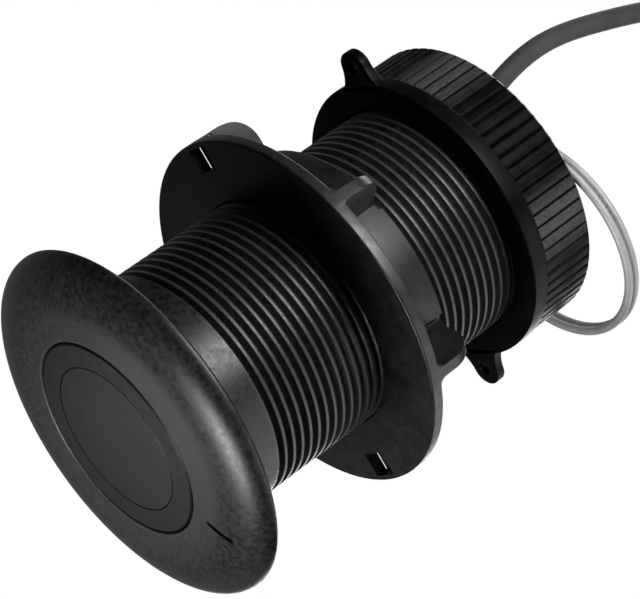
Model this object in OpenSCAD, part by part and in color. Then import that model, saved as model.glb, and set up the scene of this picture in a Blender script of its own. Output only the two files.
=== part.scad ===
// Retractable through-hull sonar transducer.
// It stands on its sonar face: the face lies in z = 0 and the barrel rises along +Z.

/* [Housing] */
// Largest radius of the mushroom flange
flange_r = 38; // [35:0.5:44]
// Height at which the flange is widest
flange_edge_z = 5.6; // [4.5:0.1:6.5]
// Height of the flange's flat upper side
flange_t = 7.3; // [7:0.1:10]
// Width of the flange's rounded edge
flange_edge_w = 11; // [7:0.5:12]
// Width of the round at the flange's back
flange_back_w = 6.5; // [3:0.5:7.5]
// Major radius of the barrel thread
thread_r = 25.4; // [24.6:0.1:26.6]
// Depth of the barrel thread
thread_depth = 1.1; // [0.8:0.1:1.3]
// Pitch of the barrel thread
thread_pitch = 2.2; // [2:0.1:2.6]
// Width of a thread crest
crest_w = 0.8; // [0.5:0.1:0.9]
// Height at which the smooth neck ends and the thread begins
thread_start_z = 17.8; // [14:0.1:24]
// Height of the barrel's upper end
barrel_top_z = 95; // [88:0.5:110]
// Wall of the barrel, from the bore to the thread's major radius
barrel_wall = 4.2; // [3.6:0.1:5]
// Distance from the bore to the mark on the flange face
mark_gap = 4.1; // [2:0.1:5]
// Length of the mark
mark_len = 6; // [3:0.5:7]
// Width of the mark
mark_w = 0.7; // [0.4:0.1:1.2]
// Depth of the mark
mark_depth = 0.8; // [0.5:0.1:1.2]
// Direction of the mark
mark_angle = -28; // [-180:1:180]

/* [Hull nut] */
// Height of the nut's lower face
nut_z = 46.3; // [30:0.1:60]
// Width of the nut's plate, from its bore to its rim
nut_w = 13.1; // [11:0.1:16]
// Thickness of the plate
nut_plate_t = 2.6; // [2:0.1:4]
// Height of the whole nut
nut_h = 14.2; // [14:0.1:17]
// Wall of the hub in the notches beside the wings
hub_wall = 1.9; // [1.5:0.1:2.4]
// Height by which the pads stand out of the hub
pad_step = 1.4; // [0.8:0.1:2]
// Number of wings
wing_count = 6; // [4:1:8]
// Direction of the first wing
wing_angle = 11; // [-180:1:180]
// Thickness of a wing
wing_t = 2.4; // [1.8:0.1:3.2]
// Distance by which a wing's level top lies below the hub's
wing_drop = 1; // [0.5:0.1:1.5]
// Radius of a wing's outer upper corner
wing_round = 6.2; // [3:0.1:7]
// Fillet at the foot of a wing
wing_fillet = 1.7; // [1:0.1:1.7]
// Width of the notch on each side of a wing
notch_w = 1.9; // [1.8:0.1:3.4]
// Distance from the plate's rim to a plate hole
plate_hole_edge = 1.2; // [0.8:0.1:2]
// Size of a plate hole along the radius
plate_hole_len = 5; // [4:0.1:5.4]
// Size of a plate hole across the radius
plate_hole_w = 6.6; // [5.6:0.1:8]
// Width of a wing's foot that stays over a plate hole
plate_hole_core = 4.4; // [3:0.1:5]

/* [Cap nut] */
// Height of the cap nut
cap_h = 17.3; // [15:0.1:22]
// Wall of the cap nut, from its bore to the ribs
cap_wall = 5.55; // [4:0.05:7]
// Height by which the smooth base flange stands out of the ribs
cap_flange_step = 0.3; // [0.2:0.1:2]
// Thickness of the base flange
cap_flange_t = 3.8; // [3:0.1:5]
// Number of ribs
rib_count = 72; // [48:1:96]
// Depth of the grooves between the ribs
rib_depth = 0.7; // [0.4:0.1:1]
// Bevel of the upper edge
cap_bevel = 1; // [0.8:0.1:1.8]
// Thickness of the cap nut's top
cap_top_t = 1.8; // [1.5:0.1:3]
// Width by which the top reaches in over the bore
cap_lip = 1.7; // [0.5:0.1:2]
// Length of an ear beyond the base flange
ear_len = 7.1; // [6:0.1:9]
// Radius of the rounded tip of an ear
ear_round_r = 3.6; // [3.2:0.1:4.2]
// Half angle that the foot of an ear takes on the flange
ear_foot_angle = 12; // [10:0.5:16]
// Thickness of an ear
ear_t = 2.2; // [1.8:0.1:3]
// Radius of the wire hole in an ear
ear_hole_r = 1.3; // [0.8:0.1:1.6]
// Direction of the first ear
ear_angle = 21.6; // [-180:0.1:180]

/* [Insert] */
// Radial clearance of the insert in the bore
insert_clear = 0.25; // [0.1:0.05:0.4]
// Wall of the insert shell
shell_wall = 2.8; // [2.4:0.1:3.2]
// Width of the collar that sits on the barrel's end
collar_w = 2.6; // [2:0.1:3]
// Thickness of the collar
collar_t = 2.9; // [2:0.1:4]
// Width of the face ring round the acoustic window
face_ring_w = 5.05; // [4.5:0.05:7]
// Thickness of the face lip round the window
lip_t = 3; // [2:0.1:4]
// Thickness of the window's hidden rim
window_rim_t = 2; // [1.5:0.1:3]
// Radius of an O-ring's section
o_ring_section_r = 0.75; // [0.6:0.05:0.8]
// Height of the lower O-ring
lower_o_ring_z = 11; // [8:0.5:16]
// Distance of the upper O-ring from the barrel's end
upper_o_ring_drop = 15; // [10:0.5:24]
// Thickness of the cover in the insert's top
cover_t = 8; // [6:0.1:10]

/* [Element] */
// Radius of the ceramic disc
piezo_r = 12.7; // [11.6:0.1:13]
// Thickness of the ceramic disc
piezo_t = 9; // [6:0.5:11]
// Thickness of the cork round and behind the disc
cork_t = 2.4; // [1.5:0.1:2.8]
// Radius of a lead wire
lead_r = 0.6; // [0.4:0.05:0.8]
// Distance of a lead wire from the disc's edge
lead_edge = 1.2; // [1:0.1:3]
// Distance of a lead wire from the plane through the cable
lead_side = 1.2; // [1:0.1:1.6]

/* [Pull ring] */
// Radius of the ring at the middle of its wire
ring_r = 22.25; // [19:0.25:23]
// Radius of the wire
wire_r = 0.9; // [0.6:0.05:1]
// Direction in which the ring lies
ring_angle = -20; // [-40:1:-10]
// Distance from the axis to the eye, counted towards the ring
eye_offset = -3.7; // [-4.5:0.1:0]
// Thickness of the eye's lug
eye_t = 3; // [2.4:0.1:4]
// Wall round the eye
eye_wall = 2.3; // [1.8:0.1:3]

/* [Cable] */
// Diameter of the cable
cable_d = 4.4; // [4:0.1:4.4]
// Radius of the boot's foot in the cover
boot_foot_r = 3.3; // [2.8:0.1:3.4]
// Radius of the boot just above the cover
boot_base_r = 4; // [3.6:0.1:4.3]
// Wall of the cover outside the boot
boot_edge = 1.3; // [0.8:0.1:2.5]
// Length of the boot above the insert
boot_len = 14.1; // [10:0.1:18]
// Wall of the boot at its tip
boot_tip_wall = 0.6; // [0.4:0.1:1]
// Thickness of the strap round the coil
tie_t = 0.8; // [0.6:0.1:0.9]
// Width of the strap
tie_w = 10; // [6:0.5:14]

/* [Plug] */
// Radius of the plug's grip
plug_r = 7.5; // [6.5:0.1:7.5]
// Length of the grip with its strain relief
plug_grip_len = 26; // [20:0.5:30]
// Length of the metal shell that stands out of the grip
plug_shell_len = 11; // [8:0.5:14]
// Wall of the metal shell
plug_shell_wall = 0.8; // [0.6:0.1:1.2]
// Number of contact pins
pin_count = 5; // [3:1:7]
// Radius of a contact pin
pin_r = 0.6; // [0.4:0.05:0.8]

/* [Hidden] */
$fn = 96;

// Small distance by which cutting shapes pass a face
over = 0.1;
// Gap between pieces that move against each other
run_gap = 0.3;
// Gap between pieces that are fitted together
fit_gap = 0.05;

// Housing
thread_flank = thread_depth * tan(30);
thread_turns = floor((barrel_top_z - thread_start_z - crest_w) / thread_pitch);
bore_r = thread_r - barrel_wall;
mark_r = bore_r + mark_gap;
flange_flat_r = flange_r - flange_edge_w;
flange_back_from = 15;
bore_bevel = 0.6;

// Hull nut
nut_bore_r = thread_r + run_gap;
nut_r = nut_bore_r + nut_w;
nut_hub_r = nut_bore_r + hub_wall;
nut_pad_r = nut_hub_r + pad_step;
pad_bevel = 0.5;
wing_h = nut_h - wing_drop;
fillet_sink = 0.03;
plate_hole_in_r = nut_r - plate_hole_edge - plate_hole_len;

// Insert
insert_r = bore_r - insert_clear;
cavity_r = insert_r - shell_wall;
insert_top_z = barrel_top_z + collar_t;
collar_r = bore_r + collar_w;
window_r = insert_r - face_ring_w;
upper_o_ring_z = barrel_top_z - upper_o_ring_drop;
o_ring_mean_r = bore_r - o_ring_section_r - fit_gap;
groove_floor_r = o_ring_mean_r - o_ring_section_r - fit_gap;
groove_side_gap = 0.2;
groove_half_w = o_ring_section_r + groove_side_gap;
window_back_z = lip_t + fit_gap + window_rim_t;
fill_r = cavity_r - fit_gap;

// Element
piezo_z = window_back_z + fit_gap;
cork_in_r = piezo_r + fit_gap;
cork_out_r = cork_in_r + cork_t;
cork_pad_z = piezo_z + piezo_t + fit_gap;
element_top_z = cork_pad_z + cork_t;
cover_z = insert_top_z - cover_t;
lead_x = lead_edge - piezo_r;

// Cap nut
cap_inner_z = insert_top_z + run_gap;
cap_top_z = cap_inner_z + cap_top_t;
cap_z = cap_top_z - cap_h;
cap_r = nut_bore_r + cap_wall;
cap_flange_r = cap_r + cap_flange_step;
cap_opening_r = bore_r - cap_lip;
cap_pocket_r = collar_r + run_gap;
cap_pocket_z = barrel_top_z + run_gap;
ear_centre_r = cap_flange_r + ear_len - ear_round_r;

// Pull ring: two wires lie on each other
wire_overlap = 0.1;
wire_step = 2 * wire_r - wire_overlap;
ring_half_h = wire_step / 2 + wire_r;
ring_z = cap_top_z + run_gap + ring_half_h;
ring_centre_d = eye_offset + ring_r;
eye_hole_r = ring_half_h + run_gap;
eye_round_r = eye_hole_r + eye_wall;

// Cable: the points are chosen by hand; its rise is set out from the boot's tip, the rest lies still
cable_r = cable_d / 2;
cable_x = boot_foot_r + boot_edge - fill_r;
boot_top_z = insert_top_z + boot_len;
run_rise = [
    [0, 0, 0], [-0.1, 0, 3], [-0.9, 0, 7], [-1.8, 0, 12], [-2.3, 0, 17.5], [-2, 0, 24], [-0.8, 0, 30.5],
    [1.1, 0, 37.5], [3.3, 0, 44.5], [7.2, -0.5, 54], [12.5, -1.5, 62.5], [19.5, -3, 70], [28.5, -5.5, 76],
    [39, -8.5, 79.5], [50, -12, 80], [60.5, -15.5, 77], [70, -19, 71], [78, -22.5, 62.5], [84.5, -26, 51.5]
];
run_fall = [
    [76, -29, 151], [79.5, -32, 138], [82, -35, 124], [83.5, -37.5, 110], [84.5, -40, 96], [85, -42.5, 82],
    [85.3, -44.8, 68], [85.6, -46.8, 54], [86.3, -48.6, 40], [88, -50, 27], [91.8, -51, 15],
    [98.5, -51.3, 6.5], [107.5, -50.6, 3.4], [117, -47.8, 3.2], [126, -43.7, 3.2]
];
run_points = concat([for (p = run_rise) [cable_x, 0, boot_top_z] + p], run_fall);
tail_points = [
    [126, -43.7, 25.7], [136.7, -38.1, 26.8], [145.4, -29.8, 28.6], [150.8, -19, 30], [151.9, -7.4, 30.3],
    [149.3, 3.4, 30.3], [144.8, 12.7, 30.4], [138.7, 20.1, 30.9], [131.5, 25.7, 32.2], [125, 29.2, 34.2],
    [118.5, 30.7, 35.3], [112, 31, 35.5]
];
coil_centre = [110, 0];
coil_columns = 6;
coil_rows = 6;
turn_gap = 0.1;
coil_step = cable_d + turn_gap;
coil_mean_r = 33;
tie_gap = 0.1;
coil_z = tie_t + tie_gap;
coil_in_r = coil_mean_r - (coil_columns + 1) * coil_step / 2;
coil_out_r = coil_mean_r + (coil_columns + 1) * coil_step / 2;
coil_h = coil_rows * coil_step;

// Plug: its grip starts where the cable's tail ends, and it points along -X
plug_at = tail_points[len(tail_points) - 1];
grip_wall = 1.2;
plug_shell_r = plug_r - grip_wall;
plug_shell_in_r = plug_shell_r - plug_shell_wall;
plug_carrier_r = plug_shell_in_r - fit_gap;
plug_carrier_len = 4;
plug_socket_len = 8;
plug_start = plug_grip_len - plug_socket_len + fit_gap;
pin_circle_share = 0.55;
pin_circle_r = plug_carrier_r * pin_circle_share;
pin_reach = 5;
pin_len = plug_carrier_len + pin_reach;

function arc(centre, r, from, to, steps) = oval(centre, [r, r], from, to, steps);

function oval(centre, half, from, to, steps) =
    [for (i = [0 : steps])
        let (a = from + (to - from) * i / steps)
        centre + [half[0] * cos(a), half[1] * sin(a)]];

// Curve from a to c that leaves and arrives along the lines to b
function bend(a, b, c, steps) =
    [for (i = [0 : steps])
        let (t = i / steps)
        pow(1 - t, 2) * a + 2 * t * (1 - t) * b + pow(t, 2) * c];

function unit(v) = v / norm(v);

function heading(points, i) =
    unit(points[min(i + 1, len(points) - 1)] - points[max(i - 1, 0)]);

function tube_ring(points, i, r, side, count) =
    let (along = heading(points, i), a = unit(cross(along, side)), b = cross(along, a))
    [for (k = [0 : count - 1]) points[i] + r * (cos(360 * k / count) * a + sin(360 * k / count) * b)];

// Round tube along a list of points; side is a direction that the route never takes
module tube(points, r, side) {
    count = 10;
    last = len(points) - 1;
    corners = [for (i = [0 : last]) each tube_ring(points, i, r, side, count)];
    walls = [for (i = [0 : last - 1], k = [0 : count - 1])
        let (next = (k + 1) % count)
        [i * count + k, i * count + next, (i + 1) * count + next, (i + 1) * count + k]];
    start = [for (k = [count - 1 : -1 : 0]) k];
    end = [for (k = [0 : count - 1]) last * count + k];
    polyhedron(corners, concat(walls, [start, end]), convexity = 10);
}

module disc(r, z0, z1) {
    translate([0, 0, z0]) cylinder(r = r, h = z1 - z0);
}

module tube_ring_solid(outer, inner, z0, z1) {
    difference() {
        disc(outer, z0, z1);
        disc(inner, z0 - over, z1 + over);
    }
}

module housing() {
    thread = [for (i = [0 : thread_turns - 1])
        let (z = thread_start_z + i * thread_pitch)
        each [
            [thread_r, z],
            [thread_r - thread_depth, z + thread_flank],
            [thread_r - thread_depth, z + thread_pitch - crest_w - thread_flank],
            [thread_r, z + thread_pitch - crest_w]
        ]];
    outline = concat(
        [[bore_r, 0]],
        oval([flange_flat_r, flange_edge_z], [flange_r - flange_flat_r, flange_edge_z], -90, 0, 8),
        oval([flange_r - flange_back_w, flange_edge_z], [flange_back_w, flange_t - flange_edge_z],
            flange_back_from, 90, 5),
        [[thread_r, flange_t]],
        thread,
        [
            [thread_r, barrel_top_z - bore_bevel],
            [thread_r - bore_bevel, barrel_top_z],
            [bore_r + bore_bevel, barrel_top_z],
            [bore_r, barrel_top_z - bore_bevel]
        ]
    );
    color([0.09, 0.09, 0.1]) difference() {
        rotate_extrude() polygon(outline);
        rotate([0, 0, mark_angle]) translate([mark_r, -mark_w / 2, -over])
            cube([mark_len, mark_w, mark_depth + over]);
    }
}

// Upright wall with filleted feet, seen along the radius and drawn from the plate's upper side;
// the fillets start a hair below that side, so that they run into it
module wing_section() {
    half = wing_t / 2;
    foot = half + wing_fillet;
    fillet_z = wing_fillet - fillet_sink;
    polygon(concat(
        [[-foot, -over]],
        arc([-foot, fillet_z], wing_fillet, -90, 0, 6),
        [[-half, 2 * nut_h], [half, 2 * nut_h]],
        arc([foot, fillet_z], wing_fillet, 180, 270, 6),
        [[foot, -over]]
    ));
}

// Places a shape at every wing
module each_wing() {
    for (k = [0 : wing_count - 1])
        rotate([0, 0, wing_angle + 360 * k / wing_count]) children();
}

// What is cut away between the wings: the space round the hub's pads and the notches beside each wing
module nut_pockets() {
    notch = wing_t + 2 * notch_w;
    difference() {
        union() {
            tube_ring_solid(nut_r + over, nut_pad_r, nut_plate_t, nut_h + over);
            each_wing() translate([nut_hub_r, -notch / 2, nut_plate_t])
                cube([nut_pad_r - nut_hub_r + over, notch, nut_h]);
        }
        each_wing() translate([nut_bore_r, 0, nut_plate_t]) rotate([90, 0, 90])
            linear_extrude(height = nut_r) wing_section();
    }
}

// Rectangular hole through the plate under a wing, whose foot stays above the plate
module plate_hole() {
    fillet_top = nut_plate_t + wing_fillet;
    difference() {
        translate([plate_hole_in_r, -plate_hole_w / 2, -over])
            cube([plate_hole_len, plate_hole_w, fillet_top + 2 * over]);
        translate([nut_hub_r, -plate_hole_core / 2, nut_plate_t])
            cube([nut_r, plate_hole_core, nut_h]);
    }
}

module hull_nut() {
    outline = concat(
        [[nut_bore_r, 0], [nut_r, 0]],
        arc([nut_r - wing_round, wing_h - wing_round], wing_round, 0, 90, 8),
        [[nut_pad_r + pad_bevel, wing_h], [nut_pad_r - pad_bevel, nut_h], [nut_bore_r, nut_h]]
    );
    color([0.07, 0.07, 0.08]) translate([0, 0, nut_z]) difference() {
        rotate_extrude() polygon(outline);
        nut_pockets();
        for (side = [0, 180]) rotate([0, 0, wing_angle + side]) plate_hole();
    }
}

// Ribs with rounded backs and narrow grooves between them
module ribbed_circle() {
    pitch = 360 / rib_count;
    shoulder = 0.36;
    fall = rib_depth / 4;
    section = [[-0.5, rib_depth], [-shoulder, fall], [0, 0], [shoulder, fall]];
    polygon([for (k = [0 : rib_count - 1], s = section)
        (cap_r - s[1]) * [cos((k + s[0]) * pitch), sin((k + s[0]) * pitch)]]);
}

module ear() {
    root = 1;
    waist = 0.6;
    steps = 4;
    foot = cap_flange_r * [cos(ear_foot_angle), sin(ear_foot_angle)] - [root, 0];
    side = bend(
        foot, [cap_flange_r + waist, ear_round_r + waist], [ear_centre_r, ear_round_r], steps
    );
    linear_extrude(height = ear_t) difference() {
        union() {
            translate([ear_centre_r, 0]) circle(r = ear_round_r);
            polygon(concat(side, [for (i = [steps : -1 : 0]) [side[i][0], -side[i][1]]]));
        }
        translate([ear_centre_r, 0]) circle(r = ear_hole_r, $fn = 32);
    }
}

module cap_nut() {
    skirt_h = cap_top_z - cap_z;
    color([0.06, 0.06, 0.07]) difference() {
        translate([0, 0, cap_z]) union() {
            disc(cap_flange_r, 0, cap_flange_t);
            for (side = [0, 180]) rotate([0, 0, ear_angle + side]) ear();
            intersection() {
                linear_extrude(height = skirt_h) ribbed_circle();
                rotate_extrude() polygon([
                    [0, 0], [cap_r + over, 0], [cap_r + over, skirt_h - cap_bevel - over],
                    [cap_r - cap_bevel, skirt_h], [0, skirt_h]
                ]);
            }
        }
        disc(nut_bore_r, cap_z - over, cap_pocket_z);
        disc(cap_pocket_r, cap_pocket_z - over, cap_inner_z);
        disc(cap_opening_r, cap_inner_z - over, cap_top_z + over);
    }
}

module insert_shell() {
    grooves = [for (z = [lower_o_ring_z, upper_o_ring_z])
        each [
            [insert_r, z - groove_half_w], [groove_floor_r, z - groove_half_w],
            [groove_floor_r, z + groove_half_w], [insert_r, z + groove_half_w]
        ]];
    face_bevel = 0.3;
    color([0.1, 0.1, 0.11]) rotate_extrude() polygon(concat(
        [[window_r + fit_gap, 0], [insert_r - face_bevel, 0], [insert_r, face_bevel]],
        grooves,
        [
            [insert_r, barrel_top_z], [collar_r, barrel_top_z], [collar_r, insert_top_z],
            [cavity_r, insert_top_z], [cavity_r, lip_t], [window_r + fit_gap, lip_t]
        ]
    ));
}

module acoustic_window() {
    edge = 0.25;
    color([0.12, 0.12, 0.13]) rotate_extrude() polygon([
        [0, 0], [window_r - edge, 0], [window_r, edge], [window_r, lip_t + fit_gap],
        [fill_r, lip_t + fit_gap], [fill_r, window_back_z], [0, window_back_z]
    ]);
}

module o_ring(z) {
    color([0.05, 0.05, 0.05]) translate([0, 0, z])
        rotate_extrude() translate([o_ring_mean_r, 0]) circle(r = o_ring_section_r, $fn = 24);
}

module lower_o_ring() {
    o_ring(lower_o_ring_z);
}

module upper_o_ring() {
    o_ring(upper_o_ring_z);
}

module piezo_disc() {
    color([0.85, 0.82, 0.74]) disc(piezo_r, piezo_z, piezo_z + piezo_t);
}

module cork_sleeve() {
    color([0.7, 0.52, 0.34]) tube_ring_solid(cork_out_r, cork_in_r, piezo_z, piezo_z + piezo_t);
}

module lead(side, r, z0, z1) {
    translate([lead_x, side * lead_side, z0]) cylinder(r = r, h = z1 - z0, $fn = 24);
}

module leads_path(z0, z1) {
    for (side = [-1, 1]) lead(side, lead_r + fit_gap, z0, z1);
}

module cork_pad() {
    color([0.7, 0.52, 0.34]) difference() {
        disc(cork_out_r, cork_pad_z, element_top_z);
        leads_path(cork_pad_z - over, element_top_z + over);
    }
}

module lead_wire_a() {
    color([0.75, 0.15, 0.12]) lead(1, lead_r, piezo_z + piezo_t, cover_z - fit_gap);
}

module lead_wire_b() {
    color([0.15, 0.2, 0.6]) lead(-1, lead_r, piezo_z + piezo_t, cover_z - fit_gap);
}

module potting() {
    color([0.2, 0.17, 0.12]) difference() {
        disc(fill_r, piezo_z, cover_z - fit_gap);
        disc(cork_out_r + fit_gap, piezo_z - over, element_top_z + fit_gap);
        leads_path(element_top_z, cover_z);
    }
}

// Upright lug in the plane of the ring's direction, with a hole across it
module eye_lug() {
    rotate([0, 0, ring_angle]) translate([eye_offset, eye_t / 2, 0]) rotate([90, 0, 0])
        linear_extrude(height = eye_t) difference() {
            union() {
                translate([0, ring_z]) circle(r = eye_round_r);
                translate([-eye_round_r, insert_top_z - over])
                    square([2 * eye_round_r, ring_z - insert_top_z + over]);
            }
            translate([0, ring_z]) circle(r = eye_hole_r, $fn = 48);
        }
}

module insert_cover() {
    color([0.08, 0.08, 0.09]) difference() {
        union() {
            disc(fill_r, cover_z, insert_top_z);
            eye_lug();
        }
        translate([cable_x, 0, 0]) disc(boot_foot_r + fit_gap, cover_z - over, insert_top_z + over);
    }
}

module pull_ring() {
    color([0.75, 0.75, 0.76]) rotate([0, 0, ring_angle]) translate([ring_centre_d, 0, ring_z])
        rotate_extrude() translate([ring_r, 0]) {
            for (side = [-1, 1])
                translate([0, side * wire_step / 2]) circle(r = wire_r, $fn = 24);
        }
}

module cable_boot() {
    tip_r = cable_r + boot_tip_wall;
    shoulder = 2;
    color([0.1, 0.1, 0.1]) translate([cable_x, 0, 0]) rotate_extrude($fn = 48) polygon([
        [0, cover_z], [boot_foot_r, cover_z], [boot_foot_r, insert_top_z + fit_gap],
        [boot_base_r, insert_top_z + fit_gap], [boot_base_r, insert_top_z + shoulder],
        [tip_r, boot_top_z], [0, boot_top_z]
    ]);
}

module cable_run() {
    color([0.3, 0.3, 0.31]) tube(run_points, cable_r, [0, 1, 0]);
}

module cable_coil() {
    corner = cable_r;
    color([0.3, 0.3, 0.31]) translate([coil_centre[0], coil_centre[1], coil_z])
        rotate_extrude() polygon(concat(
            arc([coil_in_r + corner, corner], corner, 180, 270, 4),
            arc([coil_out_r - corner, corner], corner, 270, 360, 4),
            arc([coil_out_r - corner, coil_h - corner], corner, 0, 90, 4),
            arc([coil_in_r + corner, coil_h - corner], corner, 90, 180, 4)
        ));
}

module cable_tail() {
    color([0.3, 0.3, 0.31]) tube(tail_points, cable_r, [0, 0, 1]);
}

module rounded_block(x0, x1, z0, z1, r) {
    translate([x0 + r, z0]) square([x1 - x0 - 2 * r, z1 - z0]);
    translate([x0, z0 + r]) square([x1 - x0, z1 - z0 - 2 * r]);
    for (x = [x0 + r, x1 - r], z = [z0 + r, z1 - r])
        translate([x, z]) circle(r = r, $fn = 32);
}

// Strap round the coil's section, on the side towards the object
module coil_tie() {
    near = -coil_out_r - tie_gap;
    far = -sqrt(pow(coil_in_r, 2) - pow(tie_w / 2, 2)) + tie_gap;
    low = coil_z - tie_gap;
    high = coil_z + coil_h + tie_gap;
    round_r = 1.5;
    color([0.12, 0.12, 0.12]) translate([coil_centre[0], coil_centre[1] + tie_w / 2, 0])
        rotate([90, 0, 0]) linear_extrude(height = tie_w) difference() {
            rounded_block(near - tie_t, far + tie_t, low - tie_t, high + tie_t, round_r + tie_t);
            rounded_block(near, far, low, high, round_r);
        }
}

// Brings a shape drawn along +Z to the plug's place, where it points along -X
module at_plug() {
    translate(plug_at) rotate([0, -90, 0]) children();
}

module plug_body() {
    relief_len = 10.5;
    relief_fall = 1.5;
    shoulder = 2;
    bevel = 0.8;
    socket_z = plug_grip_len - plug_socket_len;
    color([0.1, 0.1, 0.1]) at_plug() rotate_extrude($fn = 64) polygon([
        [0, 0], [cable_r + boot_tip_wall, 0],
        [plug_r - relief_fall, relief_len], [plug_r, relief_len + shoulder],
        [plug_r, plug_grip_len - bevel], [plug_r - bevel, plug_grip_len],
        [plug_shell_r + fit_gap, plug_grip_len], [plug_shell_r + fit_gap, socket_z], [0, socket_z]
    ]);
}

module plug_shell() {
    color([0.72, 0.72, 0.72]) at_plug()
        tube_ring_solid(plug_shell_r, plug_shell_in_r, plug_start, plug_grip_len + plug_shell_len);
}

module pins(r, z0, z1) {
    for (k = [0 : pin_count - 1])
        rotate([0, 0, 360 * k / pin_count]) translate([pin_circle_r, 0, z0])
            cylinder(r = r, h = z1 - z0, $fn = 24);
}

module plug_carrier() {
    color([0.16, 0.16, 0.16]) at_plug() difference() {
        disc(plug_carrier_r, plug_start, plug_start + plug_carrier_len);
        pins(pin_r + fit_gap, plug_start - over, plug_start + plug_carrier_len + over);
    }
}

module plug_pins() {
    color([0.8, 0.66, 0.3]) at_plug() pins(pin_r, plug_start, plug_start + pin_len);
}

housing();
hull_nut();
cap_nut();
insert_shell();
acoustic_window();
lower_o_ring();
upper_o_ring();
piezo_disc();
cork_sleeve();
cork_pad();
lead_wire_a();
lead_wire_b();
potting();
insert_cover();
pull_ring();
cable_boot();
cable_run();
cable_coil();
cable_tail();
coil_tie();
plug_body();
plug_shell();
plug_carrier();
plug_pins();
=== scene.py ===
import math

import bmesh
import bpy
import numpy as np
from mathutils import Matrix


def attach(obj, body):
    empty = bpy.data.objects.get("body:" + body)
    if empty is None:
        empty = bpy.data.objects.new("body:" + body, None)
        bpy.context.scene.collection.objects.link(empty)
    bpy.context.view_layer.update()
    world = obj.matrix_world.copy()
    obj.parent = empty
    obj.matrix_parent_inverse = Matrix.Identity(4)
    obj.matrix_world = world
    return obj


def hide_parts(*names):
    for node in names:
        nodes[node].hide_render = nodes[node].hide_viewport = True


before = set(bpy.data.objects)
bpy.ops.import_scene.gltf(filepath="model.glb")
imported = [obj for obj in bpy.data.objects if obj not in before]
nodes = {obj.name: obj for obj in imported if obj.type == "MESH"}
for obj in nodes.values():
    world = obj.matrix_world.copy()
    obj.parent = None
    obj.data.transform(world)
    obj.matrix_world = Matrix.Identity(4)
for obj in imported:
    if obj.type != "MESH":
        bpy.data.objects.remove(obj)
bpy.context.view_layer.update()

scene = bpy.context.scene
scene.view_settings.view_transform = "Standard"
mm = 0.001
weldWithin = 1e-6  # metres
slimWithin = 1e-7
noiseSpan = (0.3, 0.7)  # where most values of a noise lie
print("frame loaded:", len(nodes), "nodes")


# quads of a grid of points, row after row; a closed direction joins its last line to its first
def gridQuads(rows, columns, closeRows=False, closeColumns=False):
    i = np.arange(rows if closeRows else rows - 1)
    j = np.arange(columns if closeColumns else columns - 1)
    i, j = np.meshgrid(i, j, indexing="ij")
    iNext = (i + 1) % rows
    jNext = (j + 1) % columns
    corners = [i * columns + j, i * columns + jNext, iNext * columns + jNext, iNext * columns + j]
    return np.stack(corners, -1).reshape(-1, 4)


# one object at the origin from shells of (points in mm, quads); seams and poles are welded, faces turned out
def makePiece(name, shells, material, body, sharpDeg=38):
    starts = np.cumsum([0] + [len(points) for points, quads in shells[:-1]])
    allPoints = np.concatenate([points for points, quads in shells]) * mm
    allQuads = np.concatenate([shell[1] + start for shell, start in zip(shells, starts)])
    mesh = bpy.data.meshes.new(name)
    mesh.from_pydata(allPoints.tolist(), [], allQuads.tolist())
    work = bmesh.new()
    work.from_mesh(mesh)
    bmesh.ops.remove_doubles(work, verts=work.verts, dist=weldWithin)
    bmesh.ops.dissolve_degenerate(work, edges=work.edges, dist=slimWithin)
    bmesh.ops.recalc_face_normals(work, faces=work.faces)
    work.to_mesh(mesh)
    work.free()
    mesh.polygons.foreach_set("use_smooth", np.ones(len(mesh.polygons), bool))
    mesh.set_sharp_from_angle(angle=math.radians(sharpDeg))
    piece = bpy.data.objects.new(name, mesh)
    scene.collection.objects.link(piece)
    mesh.materials.append(material)
    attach(piece, body)
    print("made", name, len(mesh.polygons), "faces")
    return piece


# each corner of a closed outline becomes a quadratic curve that begins and ends `reach` away from it,
# or at the share `most` of a short side
def roundCorners(outline, reach, steps=5, most=0.45):
    corner = np.asarray(outline, float)
    reach = np.broadcast_to(reach, len(corner))
    back = np.roll(corner, 1, 0) - corner
    ahead = np.roll(corner, -1, 0) - corner
    backLength = np.linalg.norm(back, axis=1)
    aheadLength = np.linalg.norm(ahead, axis=1)
    start = corner + back * (np.minimum(reach, most * backLength) / backLength)[:, None]
    end = corner + ahead * (np.minimum(reach, most * aheadLength) / aheadLength)[:, None]
    t = np.linspace(0, 1, steps)[None, :, None]
    curve = (1 - t) ** 2 * start[:, None] + 2 * t * (1 - t) * corner[:, None] + t ** 2 * end[:, None]
    return curve.reshape(-1, 2)


# points of an ellipse arc, angles in degrees
def ovalArc(centre, half, fromDeg, toDeg, steps):
    angle = np.radians(np.linspace(fromDeg, toDeg, steps))
    return np.stack([centre[0] + half[0] * np.cos(angle), centre[1] + half[1] * np.sin(angle)], -1)


# soft ramp from 0 to 1: three times the square less twice the cube
def smoothStep(x):
    x = np.clip(x, 0, 1)
    return x * x * (3 - 2 * x)


# length along a chain of points, from 0 at the first
def chainLength(points):
    return np.concatenate([[0], np.cumsum(np.linalg.norm(np.diff(points, axis=0), axis=1))])


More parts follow.
